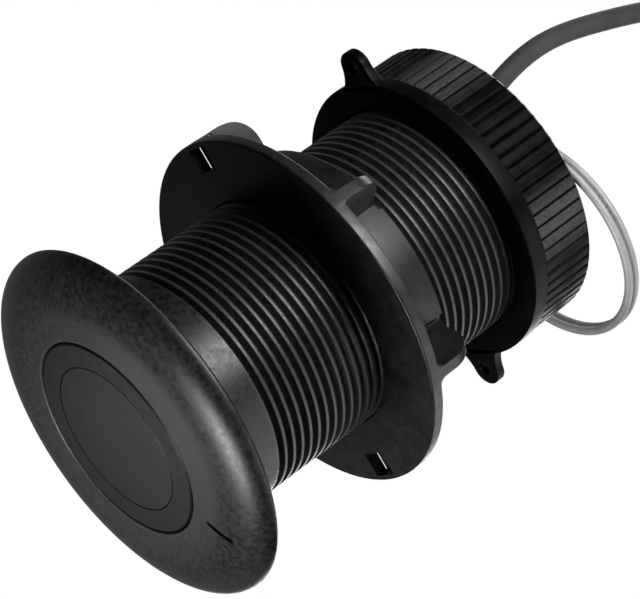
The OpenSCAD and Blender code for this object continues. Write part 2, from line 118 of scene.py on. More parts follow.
# cubic spline through points over their chord length, with given end directions, sampled every `step` mm
def smoothPath(points, startDir, endDir, step):
    p = np.asarray(points, float)
    chord = np.linalg.norm(np.diff(p, axis=0), axis=1)
    knot = chainLength(p)
    count = len(p)
    system = np.zeros((count, count))
    right = np.zeros((count, 3))
    inner = np.arange(1, count - 1)
    system[inner, inner - 1] = chord[1:]
    system[inner, inner] = 2 * (chord[:-1] + chord[1:])
    system[inner, inner + 1] = chord[:-1]
    slope = np.diff(p, axis=0) / chord[:, None]
    right[inner] = 3 * (chord[1:, None] * slope[:-1] + chord[:-1, None] * slope[1:])
    system[0, 0] = system[-1, -1] = 1
    right[0] = np.asarray(startDir, float) / np.linalg.norm(startDir)
    right[-1] = np.asarray(endDir, float) / np.linalg.norm(endDir)
    lean = np.linalg.solve(system, right)
    s = np.linspace(0, knot[-1], int(knot[-1] / step) + 1)
    k = np.clip(np.searchsorted(knot, s, side="right") - 1, 0, count - 2)
    t = ((s - knot[k]) / chord[k])[:, None]
    h = chord[k][:, None]
    return ((2 * t ** 3 - 3 * t ** 2 + 1) * p[k] + (t ** 3 - 2 * t ** 2 + t) * h * lean[k]
            + (3 * t ** 2 - 2 * t ** 3) * p[k + 1] + (t ** 3 - t ** 2) * h * lean[k + 1])


# new material with its node tree and its shader
def newMaterial(name):
    material = bpy.data.materials.new(name)
    material.use_nodes = True
    tree = material.node_tree
    return material, tree, tree.nodes["Principled BSDF"]


# one node with its settings
def addNode(tree, kind, **settings):
    node = tree.nodes.new(kind)
    for key, value in settings.items():
        setattr(node, key, value)
    return node


# an input takes either another node's output or a constant
def feed(tree, socket, value):
    if isinstance(value, bpy.types.NodeSocket):
        tree.links.new(value, socket)
    else:
        socket.default_value = value


# the piece's own coordinates
def objectCoords(tree):
    return addNode(tree, "ShaderNodeTexCoord").outputs["Object"]


# cloudy value from 0 to 1
def noiseNode(tree, coords, scale, detail=4.0, roughness=0.5):
    node = addNode(tree, "ShaderNodeTexNoise")
    node.inputs["Scale"].default_value = scale
    node.inputs["Detail"].default_value = detail
    node.inputs["Roughness"].default_value = roughness
    tree.links.new(coords, node.inputs["Vector"])
    return node.outputs["Fac"]


# colour that runs from one stop to another, each a position and a colour
def rampNode(tree, value, lowStop, highStop):
    node = addNode(tree, "ShaderNodeValToRGB")
    for element, stop in zip(node.color_ramp.elements, (lowStop, highStop)):
        element.position, element.color = stop
    tree.links.new(value, node.inputs["Fac"])
    return node.outputs["Color"]


# one span of values carried linearly to another, and held at its ends
def rangeNode(tree, value, fromLow, fromHigh, toLow, toHigh):
    node = addNode(tree, "ShaderNodeMapRange")
    numbers = (fromLow, fromHigh, toLow, toHigh)
    for key, number in zip(("From Min", "From Max", "To Min", "To Max"), numbers):
        node.inputs[key].default_value = number
    tree.links.new(value, node.inputs["Value"])
    return node.outputs["Result"]


# relief from a height value
def bumpNode(tree, height, distance, strength):
    node = addNode(tree, "ShaderNodeBump")
    node.inputs["Distance"].default_value = distance
    node.inputs["Strength"].default_value = strength
    tree.links.new(height, node.inputs["Height"])
    return node.outputs["Normal"]


# one sum, product or other operation on values
def mathNode(tree, operation, *values):
    node = addNode(tree, "ShaderNodeMath", operation=operation)
    for socket, value in zip(node.inputs, values):
        feed(tree, socket, value)
    return node.outputs[0]


# blend of two values or colours
def mixNode(tree, kind, factor, a, b):
    node = addNode(tree, "ShaderNodeMix", data_type=kind)
    for key, value in (("Factor", factor), ("A", a), ("B", b)):
        feed(tree, node.inputs[key], value)
    return node.outputs["Result"]


# colour, gloss and relief that change over the surface
def feedShader(tree, shader, colour, rough, relief):
    for key, value in (("Base Color", colour), ("Roughness", rough), ("Normal", relief)):
        tree.links.new(value, shader.inputs[key])


# one level in all channels, times a tint
def grey(level, tint=(1, 1, 1)):
    return (level * tint[0], level * tint[1], level * tint[2], 1)


# zones round the Z axis: cosine of `count` times the angle from `deg`, with `span` stretched to 0..1
def zoneMask(tree, coords, count, deg, span):
    around = addNode(tree, "ShaderNodeTexGradient", gradient_type="RADIAL")
    tree.links.new(coords, around.inputs["Vector"])
    start = -count * (math.pi + math.radians(deg))
    phase = mathNode(tree, "MULTIPLY_ADD", around.outputs["Fac"], 2 * math.pi * count, start)
    return rangeNode(tree, mathNode(tree, "COSINE", phase), *span, 0, 1)


# rubbed places, and painted highlight where zones are given: product of ramps over the distance from the axis
# and over the height, patches and zones
def wearAndHighlightMask(tree, coords, look):
    flat = addNode(tree, "ShaderNodeVectorMath", operation="MULTIPLY")
    flat.inputs[1].default_value = (1, 1, 0)
    tree.links.new(coords, flat.inputs[0])
    reach = addNode(tree, "ShaderNodeVectorMath", operation="LENGTH")
    tree.links.new(flat.outputs["Vector"], reach.inputs[0])
    split = addNode(tree, "ShaderNodeSeparateXYZ")
    tree.links.new(coords, split.inputs["Vector"])
    patch = noiseNode(tree, coords, look["wearAndHighlightScale"], detail=4, roughness=0.65)
    wearAndHighlight = rangeNode(tree, reach.outputs["Value"], *look["wearAndHighlightRadius"], 0, 1)
    masks = [rangeNode(tree, split.outputs["Z"], *look["wearAndHighlightHeight"], 0, 1),
             rangeNode(tree, patch, *look["wearAndHighlightPatch"], look["wearAndHighlightLeast"], 1)]
    # zones round the axis: a painted highlight, placed where the surface would catch the light
    if "highlightZones" in look:
        masks.append(zoneMask(tree, coords, look["highlightZones"], look["highlightZoneDeg"], look["highlightZoneSpan"]))
    for mask in masks:
        wearAndHighlight = mathNode(tree, "MULTIPLY", wearAndHighlight, mask)
    return wearAndHighlight


# moulded plastic, rubber or resin: blotched colour, uneven gloss and a fine grain of the skin; paler where
# it is rubbed, and paler as a painted highlight in the zones where they are given
def mouldedFinish(name, look):
    material, tree, shader = newMaterial(name)
    coords = objectCoords(tree)
    tint = look.get("tint", (1, 1, 1))
    blotch = noiseNode(tree, coords, look["blotchScale"], detail=6, roughness=0.6)
    colour = rampNode(tree, blotch, (0.36, grey(look["dark"], tint)), (0.66, grey(look["pale"], tint)))
    if "wearAndHighlightRadius" in look:
        # paler colour: rubbed wear, and painted highlight in the zones where they are given
        wearAndHighlight = wearAndHighlightMask(tree, coords, look)
        colour = mixNode(tree, "RGBA", wearAndHighlight, colour, grey(look["wearAndHighlightPale"], tint))
    smear = noiseNode(tree, coords, look["smearScale"], detail=5, roughness=0.62)
    rough = rangeNode(tree, smear, *noiseSpan, *look["rough"])
    grain = noiseNode(tree, coords, look["grainScale"], detail=2)
    feedShader(tree, shader, colour, rough, bumpNode(tree, grain, look["grainHeight"], look["grainStrength"]))
    shader.inputs["Specular IOR Level"].default_value = look["specular"]
    return material


# bare metal: drawn streaks round or along the piece, small dull spots
def metalFinish(name, look):
    material, tree, shader = newMaterial(name)
    coords = objectCoords(tree)
    stretch = addNode(tree, "ShaderNodeMapping")
    stretch.inputs["Scale"].default_value = look["streak"]
    tree.links.new(coords, stretch.inputs["Vector"])
    streak = noiseNode(tree, stretch.outputs["Vector"], look["streakScale"], roughness=0.6)
    colour = rampNode(tree, streak, (noiseSpan[0], look["dark"]), (noiseSpan[1], look["pale"]))
    spot = noiseNode(tree, coords, look["spotScale"], roughness=0.6)
    rough = rangeNode(tree, spot, *noiseSpan, *look["rough"])
    feedShader(tree, shader, colour, rough, bumpNode(tree, streak, 0.00001, look["streakBump"]))
    shader.inputs["Metallic"].default_value = 1.0
    return material


# dull layered stuff such as cork, ceramic or wire cover: cells in colour and height, dusty gloss
def fleckedFinish(name, look):
    material, tree, shader = newMaterial(name)
    coords = objectCoords(tree)
    cells = addNode(tree, "ShaderNodeTexVoronoi")
    cells.inputs["Scale"].default_value = look["cellScale"]
    tree.links.new(coords, cells.inputs["Vector"])
    depth = cells.outputs["Distance"]
    colour = rampNode(tree, depth, (0.1, look["dark"]), (0.55, look["pale"]))
    dust = noiseNode(tree, coords, look["dustScale"], detail=5, roughness=0.6)
    rough = rangeNode(tree, dust, *noiseSpan, *look["rough"])
    feedShader(tree, shader, colour, rough, bumpNode(tree, depth, look["height"], strength=0.5))
    return material


# the camera comes first, then the cable
view = {
    "lens": 156.89,
    "sensor": 36.0,
    "clip": (0.01, 20.0),
    "place": (0.0, -0.482593, -0.214030),
    "right": (0.58051651, -0.3955007, 0.71174418),
    "down": (0.81424674, 0.28016421, -0.50843905),
    "ahead": (0.00168275, 0.87469264, 0.48467511),
}


# matrix of an object that stands at `place`, with the directions of its own three axes
def standAt(place, xDir, yDir, zDir):
    turn = np.eye(4)
    turn[:3] = np.stack([xDir, yDir, zDir, place], -1)
    return Matrix(turn.tolist())


cameraData = bpy.data.cameras.new("photoCamera")
cameraData.lens = view["lens"]
cameraData.sensor_width = view["sensor"]
cameraData.clip_start, cameraData.clip_end = view["clip"]
camera = bpy.data.objects.new("photoCamera", cameraData)
scene.collection.objects.link(camera)
up = np.negative(view["down"])
back = np.negative(view["ahead"])
camera.matrix_world = standAt(view["place"], view["right"], up, back)
scene.camera = camera
print("camera set")

cable = {
    "radius": 2.2,
    "sides": 18,
    "step": 1.8,  # spacing of the rings along the free lengths
    "exit": (-13.5, 0, 112),
    "run": [
        [-13.5, 0, 112], [-13.6, 0, 115], [-14.4, 0, 119], [-15.3, 0, 124], [-15.8, 0, 129.5],
        [-15.5, 0, 136], [-14.3, 0, 142.5], [-12.4, 0, 149.5], [-10.2, 0, 156.5], [-6.3, -0.5, 166],
        [-1, -1.5, 174.5], [6, -3, 182], [15, -5.5, 188], [25.5, -8.5, 191.5], [36.5, -12, 192],
        [47, -15.5, 189], [56.5, -19, 183], [64.5, -22.5, 174.5], [71, -26, 163.5], [76, -29, 151],
        [79.5, -32, 138], [82, -35, 124], [83.5, -37.5, 110], [84.5, -40, 96], [85, -42.5, 82],
        [85.3, -44.8, 68], [85.6, -46.8, 54], [86.3, -48.6, 40], [88, -50, 27], [91.8, -51, 15],
        [98.5, -51.3, 6.5], [107.5, -50.6, 3.4], [117, -47.8, 3.2], [126, -43.7, 3.2],
    ],
    "tail": [
        [126, -43.7, 25.7], [136.7, -38.1, 26.8], [145.4, -29.8, 28.6], [150.8, -19, 30],
        [151.9, -7.4, 30.3], [149.3, 3.4, 30.3], [144.8, 12.7, 30.4], [138.7, 20.1, 30.9],
        [131.5, 25.7, 32.2], [125, 29.2, 34.2], [118.5, 30.7, 35.3], [112, 31, 35.5],
    ],
    "coilCentre": (110, 0),
    "coilInner": 19.5,
    "coilOuter": 46.5,
    "coilLow": 3.15,
    "coilStep": 4.5,
    "coilRows": 6,
    "turnsPerRow": 6,
    "coilStartDeg": -69.9,
    "perTurn": 48,
    # last part of a turn: the winding holds its radius there, and climbs there at the end of a row
    "riseShare": 1 / 9,
    "twistBack": 18,  # rings before the coil at which the tube's side begins to turn
    "twistRings": 14,  # rings that the turn takes
    "dark": (0.045, 0.045, 0.047, 1),
    "pale": (0.07, 0.07, 0.073, 1),
    "cloudScale": 90,
    "wipeScale": 240,
    "rough": (0.58, 0.74),
    "grainScale": 2600,
    "grainHeight": 0.00003,
    "grainStrength": 0.12,
    "specular": 0.3,
}


# winding of a coil: in each row the radius goes in or out by one step a turn, and at the row's end it climbs
def coilPath(c):
    perRow = c["turnsPerRow"] * c["perTurn"]
    step = np.arange(c["coilRows"] * perRow + 1)
    row = np.minimum(step // perRow, c["coilRows"] - 1)
    turns = (step - row * perRow) / c["perTurn"]
    whole = np.minimum(np.floor(turns), c["turnsPerRow"] - 1)
    part = turns - whole
    moved = whole + np.minimum(part / (1 - c["riseShare"]), 1)
    inward = c["coilOuter"] - c["coilStep"] * moved
    outward = c["coilInner"] + c["coilStep"] * moved
    radius = np.where(row % 2 == 0, inward, outward)
    climb = np.where(whole == c["turnsPerRow"] - 1, (part - 1 + c["riseShare"]) / c["riseShare"], 0)
    climb = np.where(row < c["coilRows"] - 1, smoothStep(climb), 0)
    height = c["coilLow"] + c["coilStep"] * (row + climb)
    angle = math.radians(c["coilStartDeg"]) + 2 * math.pi * step / c["perTurn"]
    x = c["coilCentre"][0] + radius * np.cos(angle)
    y = c["coilCentre"][1] + radius * np.sin(angle)
    return np.stack([x, y, height], -1)


# round tube: a circle square to the path at every point; its side direction turns from Y to Z along the path
def tubeShell(path, radius, sides, sideTurn):
    along = np.gradient(path, axis=0)
    along /= np.linalg.norm(along, axis=1)[:, None]
    side = np.stack([0 * sideTurn, 1 - sideTurn, sideTurn], -1)
    a = np.cross(along, side)
    a /= np.linalg.norm(a, axis=1)[:, None]
    b = np.cross(along, a)
    angle = np.linspace(0, 2 * math.pi, sides, endpoint=False)
    ring = a[:, None] * np.cos(angle)[None, :, None] + b[:, None] * np.sin(angle)[None, :, None]
    ends = path[[0, -1], None] + 0 * ring[[0, -1]]
    closed = np.concatenate([ends[:1], path[:, None] + radius * ring, ends[1:]])
    return closed.reshape(-1, 3), gridQuads(len(path) + 2, sides, False, True)


coilWay = coilPath(cable)
startTurn = math.radians(cable["coilStartDeg"])
coilDir = (-math.sin(startTurn), math.cos(startTurn), 0)
runWay = smoothPath(cable["run"], (0, 0, 1), coilDir, cable["step"])
tailWay = smoothPath(cable["tail"], coilDir, (-1, 0, 0), cable["step"])
cableWay = np.concatenate([runWay[:-1], coilWay, tailWay[1:]])
fromTwist = np.arange(len(cableWay)) - len(runWay) + cable["twistBack"]
sideTurn = smoothStep(fromTwist / cable["twistRings"])


# cable jacket: soft grey vinyl with clouds, wiping marks in the gloss and a fine grain
def jacketFinish(name, look):
    material, tree, shader = newMaterial(name)
    coords = objectCoords(tree)
    cloud = noiseNode(tree, coords, look["cloudScale"], detail=5, roughness=0.6)
    colour = rampNode(tree, cloud, (noiseSpan[0], look["dark"]), (noiseSpan[1], look["pale"]))
    wipe = noiseNode(tree, coords, look["wipeScale"], roughness=0.6)
    rough = rangeNode(tree, wipe, *noiseSpan, *look["rough"])
    grain = noiseNode(tree, coords, look["grainScale"], detail=2)
    feedShader(tree, shader, colour, rough, bumpNode(tree, grain, look["grainHeight"], look["grainStrength"]))
    shader.inputs["Specular IOR Level"].default_value = look["specular"]
    return material


jacket = jacketFinish("cableJacket", cable)
cableShell = tubeShell(cableWay, cable["radius"], cable["sides"], sideTurn)
cablePiece = makePiece("cableLead", [cableShell], jacket, "through_hull")
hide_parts("cable_run", "cable_coil", "cable_tail")

# strap that ties the coil
strap = {
    "near": -48.85,  # the coil's outside, from the coil's middle
    "far": -16.41,  # the coil's inside
    "low": 0.8,
    "high": 28.0,
    "thick": 0.8,
    "wide": 10.0,
    "corner": 1.5,
    "cornerSteps": 7,
    "edge": 0.25,  # bevel of the band's edges
    "weftScale": 330,
    "weftWaver": 0.6,
    "weftHeight": 0.0002,
    "dark": 0.012,
    "pale": 0.045,
    "fuzzScale": 400,
    "rough": (0.7, 0.95),
}


# band: a flat section with bevelled edges carried round a loop; each loop point has its outward direction
def bandShell(loop, s, middleY):
    ahead = np.roll(loop, -1, 0) - np.roll(loop, 1, 0)
    ahead /= np.linalg.norm(ahead, axis=1)[:, None]
    out = np.stack([ahead[:, 1], -ahead[:, 0]], -1)
    edge = s["edge"]
    thick = s["thick"]
    half = s["wide"] / 2
    section = np.array([[0, edge - half], [edge, -half], [thick - edge, -half], [thick, edge - half],
                        [thick, half - edge], [thick - edge, half], [edge, half], [0, half - edge]])
    flat = loop[:, None] + out[:, None] * section[None, :, :1]
    y = np.broadcast_to(middleY + section[None, :, 1], flat.shape[:2])
    points = np.stack([flat[..., 0], y, flat[..., 1]], -1)
    return points.reshape(-1, 3), gridQuads(len(loop), len(section), True, True)


# woven strap: slightly wavering weft lines in colour and height, dull fuzz
def wovenFinish(name, look):
    material, tree, shader = newMaterial(name)
    coords = objectCoords(tree)
    weft = addNode(tree, "ShaderNodeTexWave", bands_direction="Y")
    weft.inputs["Scale"].default_value = look["weftScale"]
    weft.inputs["Distortion"].default_value = look["weftWaver"]
    tree.links.new(coords, weft.inputs["Vector"])
    line = weft.outputs["Fac"]
    colour = rampNode(tree, line, (0.1, grey(look["dark"])), (0.9, grey(look["pale"])))
    rough = rangeNode(tree, noiseNode(tree, coords, look["fuzzScale"]), *noiseSpan, *look["rough"])
    feedShader(tree, shader, colour, rough, bumpNode(tree, line, look["weftHeight"], strength=0.5))
    return material


strapWeave = wovenFinish("wovenStrap", strap)
strapBox = [[strap["near"], strap["low"]], [strap["far"], strap["low"]],
            [strap["far"], strap["high"]], [strap["near"], strap["high"]]]
strapLoop = roundCorners(strapBox, strap["corner"], strap["cornerSteps"]) + [cable["coilCentre"][0], 0]
strapShell = bandShell(strapLoop, strap, cable["coilCentre"][1])
strapPiece = makePiece("coilStrap", [strapShell], strapWeave, "through_hull")
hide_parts("coil_tie")

# plug grip at the cable's end, which points along -X
plug = {
    "place": (112, 31, 35.5),
    "columns": 96,
    "rows": 260,
    # radius and length; the first and the last point lie on the axis
    "outline": [[0, 0], [2.8, 0], [3.3, 2.6], [6, 10.5], [7.5, 12.5], [7.5, 25.2], [6.7, 26], [6.35, 26],
                [6.35, 18], [0, 18]],
    "corners": [0.3, 0.8, 1.2, 0.9, 0.5, 0.3, 0.1, 0.2],
    "cornerSteps": 7,
    "flutes": 18,
    "fluteDepth": 0.45,
    "fluteFrom": 13.2,
    "fluteTo": 24.4,
    "fluteFade": 0.8,
    "flutePower": 0.8,
    "fluteInner": 6.9,  # no flute where the grip is slimmer
    "outerShare": 0.8,  # share of the rows that lies outside the socket
    "reliefRings": [3.4, 5.2, 7.0, 8.8],
    "reliefDepth": 0.4,
    "reliefWide": 0.35,
    "reliefInner": 2.9,
    "reliefTo": 10,
}


# turned grip: a profile of radius over length, with cosine flutes and bell-shaped ring grooves sunk in
def plugShell(p):
    rounded = roundCorners(p["outline"][1:-1], p["corners"], p["cornerSteps"])
    t = np.linspace(0, 1, p["rows"])
    given = np.linspace(0, 1, len(rounded))
    even = np.stack([np.interp(t, given, rounded[:, k]) for k in (0, 1)], -1)
    outline = np.concatenate([[p["outline"][0]], even, [p["outline"][-1]]])
    angle = np.linspace(0, 2 * math.pi, p["columns"], endpoint=False)
    plain = outline[:, :1]
    length = outline[:, 1:]
    outside = np.arange(len(outline))[:, None] < len(outline) * p["outerShare"]
    fade = smoothStep((length - p["fluteFrom"]) / p["fluteFade"])
    fade = fade * smoothStep((p["fluteTo"] - length) / p["fluteFade"])
    fade = fade * ((plain > p["fluteInner"]) & outside)
    r = plain - p["fluteDepth"] * fade * np.maximum(np.cos(angle * p["flutes"]), 0) ** p["flutePower"]
    rings = np.exp(-((length - np.array(p["reliefRings"])) / p["reliefWide"]) ** 2).sum(1, keepdims=True)
    ringed = (plain > p["reliefInner"]) * (length < p["reliefTo"])
    r = r - np.minimum(rings, 1) * p["reliefDepth"] * ringed
    x, y, z = p["place"]
    points = np.stack([x - length + 0 * r, y + r * np.sin(angle), z + r * np.cos(angle)], -1)
    return points.reshape(-1, 3), gridQuads(len(outline), p["columns"], False, True)


rubber = mouldedFinish("bootRubber", {
    "dark": 0.014, "pale": 0.03, "blotchScale": 160, "smearScale": 320, "rough": (0.5, 0.72),
    "grainScale": 5200, "grainHeight": 0.00004, "grainStrength": 0.4, "specular": 0.4})
plugPiece = makePiece("plugGrip", [plugShell(plug)], rubber, "through_hull")
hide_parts("plug_body")

# rubber boot where the cable leaves the insert
boot = {
    "place": (-13.5, 0),
    "columns": 64,
    "rows": 200,
    # radius and height; the first and the last point lie on the axis
    "outline": [[0, 89.9], [3.3, 89.9], [3.3, 97.95], [4, 97.95], [4, 99.9], [2.8, 112], [0, 112]],
    "corners": [0.3, 0.2, 0.5, 0.9, 0.35],
    "cornerSteps": 6,
    "rings": [102.2, 104.4, 106.6, 108.8],
    "ringDepth": 0.32,
    "ringWide": 0.42,
}


# turned boot: a profile of radius over height, with bell-shaped ring grooves sunk in the taper
def bootShell(b):
    rounded = roundCorners(b["outline"][1:-1], b["corners"], b["cornerSteps"])
    t = np.linspace(0, 1, b["rows"])
    along = chainLength(rounded)
    even = np.stack([np.interp(t, along / along[-1], rounded[:, k]) for k in (0, 1)], -1)
    outline = np.concatenate([[b["outline"][0]], even, [b["outline"][-1]]])
    rings = np.exp(-((outline[:, 1:] - np.array(b["rings"])) / b["ringWide"]) ** 2).sum(1)
    radius = np.maximum(outline[:, 0] - b["ringDepth"] * rings, 0)
    angle = np.linspace(0, 2 * math.pi, b["columns"], endpoint=False)
    x = b["place"][0] + radius[:, None] * np.cos(angle)
    y = b["place"][1] + radius[:, None] * np.sin(angle)
    z = outline[:, 1:] + 0 * angle
    return np.stack([x, y, z], -1).reshape(-1, 3), gridQuads(len(outline), b["columns"], False, True)


bootPiece = makePiece("cableBoot", [bootShell(boot)], rubber, "through_hull")
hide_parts("cable_boot")

# housing: flange, neck and threaded barrel
housing = {
    "columns": 168,
    "flangeRadius": 38.0,
    "flangeFlat": 27.0,
    "flangeEdge": 5.6,
    "flangeThick": 7.3,
    "backWide": 6.5,
    "boreRadius": 21.2,
    "boreRound": 0.5,
    "boreRows": [60, 20, 1.0],
    "faceFrom": 0.3,  # first row past the rounded edge of the bore
    "faceTo": 25.0,
    "faceRows": [25.22, 25.3, 25.4, 26.4],  # rows about the mark's inner end
    "faceBelow": 4,
    "threadRadius": 25.4,
    "pitch": 2.2,
    "threadLow": 17.8,
    "threadHigh": 94.6,
    "fadeLow": 0.9,  # heights over which the thread runs out
    "fadeHigh": 1.2,
    "top": 95.0,
    "bevel": 0.6,
    "endRound": 0.25,
    "markDeg": -28.0,
    "markInner": 25.3,
    "markOuter": 31.3,
    "markHalf": 0.5,
    "markDepth": 0.8,
    "markClear": 1.6,  # half-widths of the mark that are kept free of other columns
    "markColumns": [-1.12, -1, -0.9, 0.9, 1, 1.12],
    "markSide": (0.1, 0.5),  # width and shift of the ramps down into the mark
    "markIn": (0.1, 0.2),
    "markOut": 0.15,
    "neckFillet": 0.9,
    "neckFrom": 10.5,
    # one pitch of the thread: height from the crest's start, depth below the crest
    "tooth": [[0.0, 0.09], [0.04, 0.03], [0.1, 0.0], [0.74, 0.0], [0.8, 0.03], [0.84, 0.09], [1.38, 1.02],
              [1.5, 1.1], [1.66, 1.02]],
}


# revolved housing: fixed rows for flange, neck, end and bore; the thread's rows climb by one pitch a turn
def housingShell(h):
    mark = math.radians(h["markDeg"]) % (2 * math.pi)
    markWidth = h["markHalf"] / ((h["markInner"] + h["markOuter"]) / 2)
    even = np.linspace(0, 2 * math.pi, h["columns"] + 1)
    even = even[np.abs(even - mark) > h["markClear"] * markWidth]
    angle = np.sort(np.concatenate([even, mark + markWidth * np.array(h["markColumns"])]))
    faceInner = h["boreRadius"] + h["boreRound"]
    boreEdge = ovalArc((faceInner, h["boreRound"]), (h["boreRound"], h["boreRound"]), 180, 270, 7)
    face = np.concatenate([np.linspace(faceInner + h["faceFrom"], h["faceTo"], 4), h["faceRows"]])
    face = np.concatenate([boreEdge, np.stack([face, 0 * face], -1)])
    edge = ovalArc((h["flangeFlat"], h["flangeEdge"]),
                   (h["flangeRadius"] - h["flangeFlat"], h["flangeEdge"]), -90, 0, 26)
    back = ovalArc((h["flangeRadius"] - h["backWide"], h["flangeEdge"]),
                   (h["backWide"], h["flangeThick"] - h["flangeEdge"]), 6, 90, 14)
    fillet = ovalArc((h["threadRadius"] + h["neckFillet"], h["flangeThick"] + h["neckFillet"]),
                     (h["neckFillet"], h["neckFillet"]), 270, 180, 6)
    neck = np.stack([np.full(4, h["threadRadius"]), np.linspace(h["neckFrom"], h["threadLow"], 4)], -1)
    lower = np.concatenate([face, edge, back, fillet, neck])
    endCorners = [[h["threadRadius"], h["top"] - h["bevel"]], [h["threadRadius"] - h["bevel"], h["top"]],
                  [h["boreRadius"] + h["bevel"], h["top"]], [h["boreRadius"], h["top"] - h["bevel"]]]
    end = roundCorners(endCorners, h["endRound"], 4)[2:-2]
    bore = np.stack([np.full(len(h["boreRows"]), h["boreRadius"]), h["boreRows"]], -1)
    turns = int((h["threadHigh"] - h["threadLow"]) / h["pitch"]) + 2
    tooth = np.array(h["tooth"])
    rowHeight = (np.arange(turns)[:, None] * h["pitch"] + tooth[None, :, 0]).ravel()
    rowDepth = np.tile(tooth[:, 1], turns)
    z = h["threadLow"] - h["pitch"] + rowHeight[:, None] + h["pitch"] * angle[None] / (2 * math.pi)
    z = np.clip(z, h["threadLow"], h["threadHigh"])
    fade = smoothStep((z - h["threadLow"]) / h["fadeLow"]) * smoothStep((h["threadHigh"] - z) / h["fadeHigh"])
    r = h["threadRadius"] - rowDepth[:, None] * fade
    upper = np.concatenate([end, bore])
    fixedLow = np.broadcast_to(lower[:, None], (len(lower), len(angle), 2))
    fixedHigh = np.broadcast_to(upper[:, None], (len(upper), len(angle), 2))
    rz = np.concatenate([fixedLow, np.stack([r, z], -1), fixedHigh])
    side = np.abs(angle - mark) / markWidth
    sunkSide = smoothStep((1.0 - side) / h["markSide"][0] + h["markSide"][1])
    sunkIn = smoothStep((rz[..., 0] - h["markInner"]) / h["markIn"][0] + h["markIn"][1])
    sunkOut = smoothStep((h["markOuter"] - rz[..., 0]) / h["markOut"])
    onFace = rz[..., 1] < h["faceBelow"]
    height = rz[..., 1] + h["markDepth"] * sunkSide[None] * (sunkIn * sunkOut) * onFace
    points = np.stack([rz[..., 0] * np.cos(angle), rz[..., 0] * np.sin(angle), height], -1)
    return points.reshape(-1, 3), gridQuads(len(rz), len(angle), True, False)


housingPlastic = mouldedFinish("housingPlastic", {
    "dark": 0.004, "pale": 0.018, "blotchScale": 900, "smearScale": 900, "rough": (0.34, 0.5),
    "grainScale": 2600, "grainHeight": 0.00002, "grainStrength": 0.6, "specular": 0.5,
    "wearAndHighlightRadius": (0.02533, 0.0254), "wearAndHighlightHeight": (0.0176, 0.0179), "wearAndHighlightScale": 1400,
    "wearAndHighlightPatch": (0.3, 0.6), "wearAndHighlightLeast": 0.4, "wearAndHighlightPale": 0.035})
housingPiece = makePiece("threadedHousing", [housingShell(housing)], housingPlastic, "through_hull")
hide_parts("housing")

# hull nut: plate, hub with pads, upright wings
hullNut = {
    "base": 46.3,
    "bore": 25.7,
    "boreStep": 0.3,
    "hub": 27.6,
    "hubRow": 26.6,
    "pad": 29.0,
    "plateRow": 30.5,
    "rim": 38.8,
    "plate": 2.6,
    "high": 14.2,  # hub and pads
    "wingHigh": 13.2,
    "padBevel": 0.5,
    "wings": 6,
    "wingDeg": 11.0,
    "wingHalf": 1.2,
    "fillet": 1.7,
    "notchHalf": 3.1,
    "wingRound": 6.2,  # a wing's outer corner
    "wingTurn": (88, 4, 18),  # degrees and rows of that corner
    "soft": 0.35,  # rounding of the edges
    "softRows": 6,
    "draft": 0.04,  # lean of an upright wall
    "between": 14,  # columns between two wings
    "holeInner": 32.6,
    "holeOuter": 37.6,
    "holeHalf": 3.08,
    "holeCore": 2.8,  # half of the wing's foot that stays over a hole
    "holeWings": (0, 3),
    "least": 0.001,  # thickness that is left anywhere
}


# drop of a rounded edge: nothing up to `soft` before the edge, then along a quarter circle
def edgeDrop(r, edge, soft):
    return soft - np.sqrt(np.maximum(soft ** 2 - np.maximum(r - edge + soft, 0) ** 2, 0))


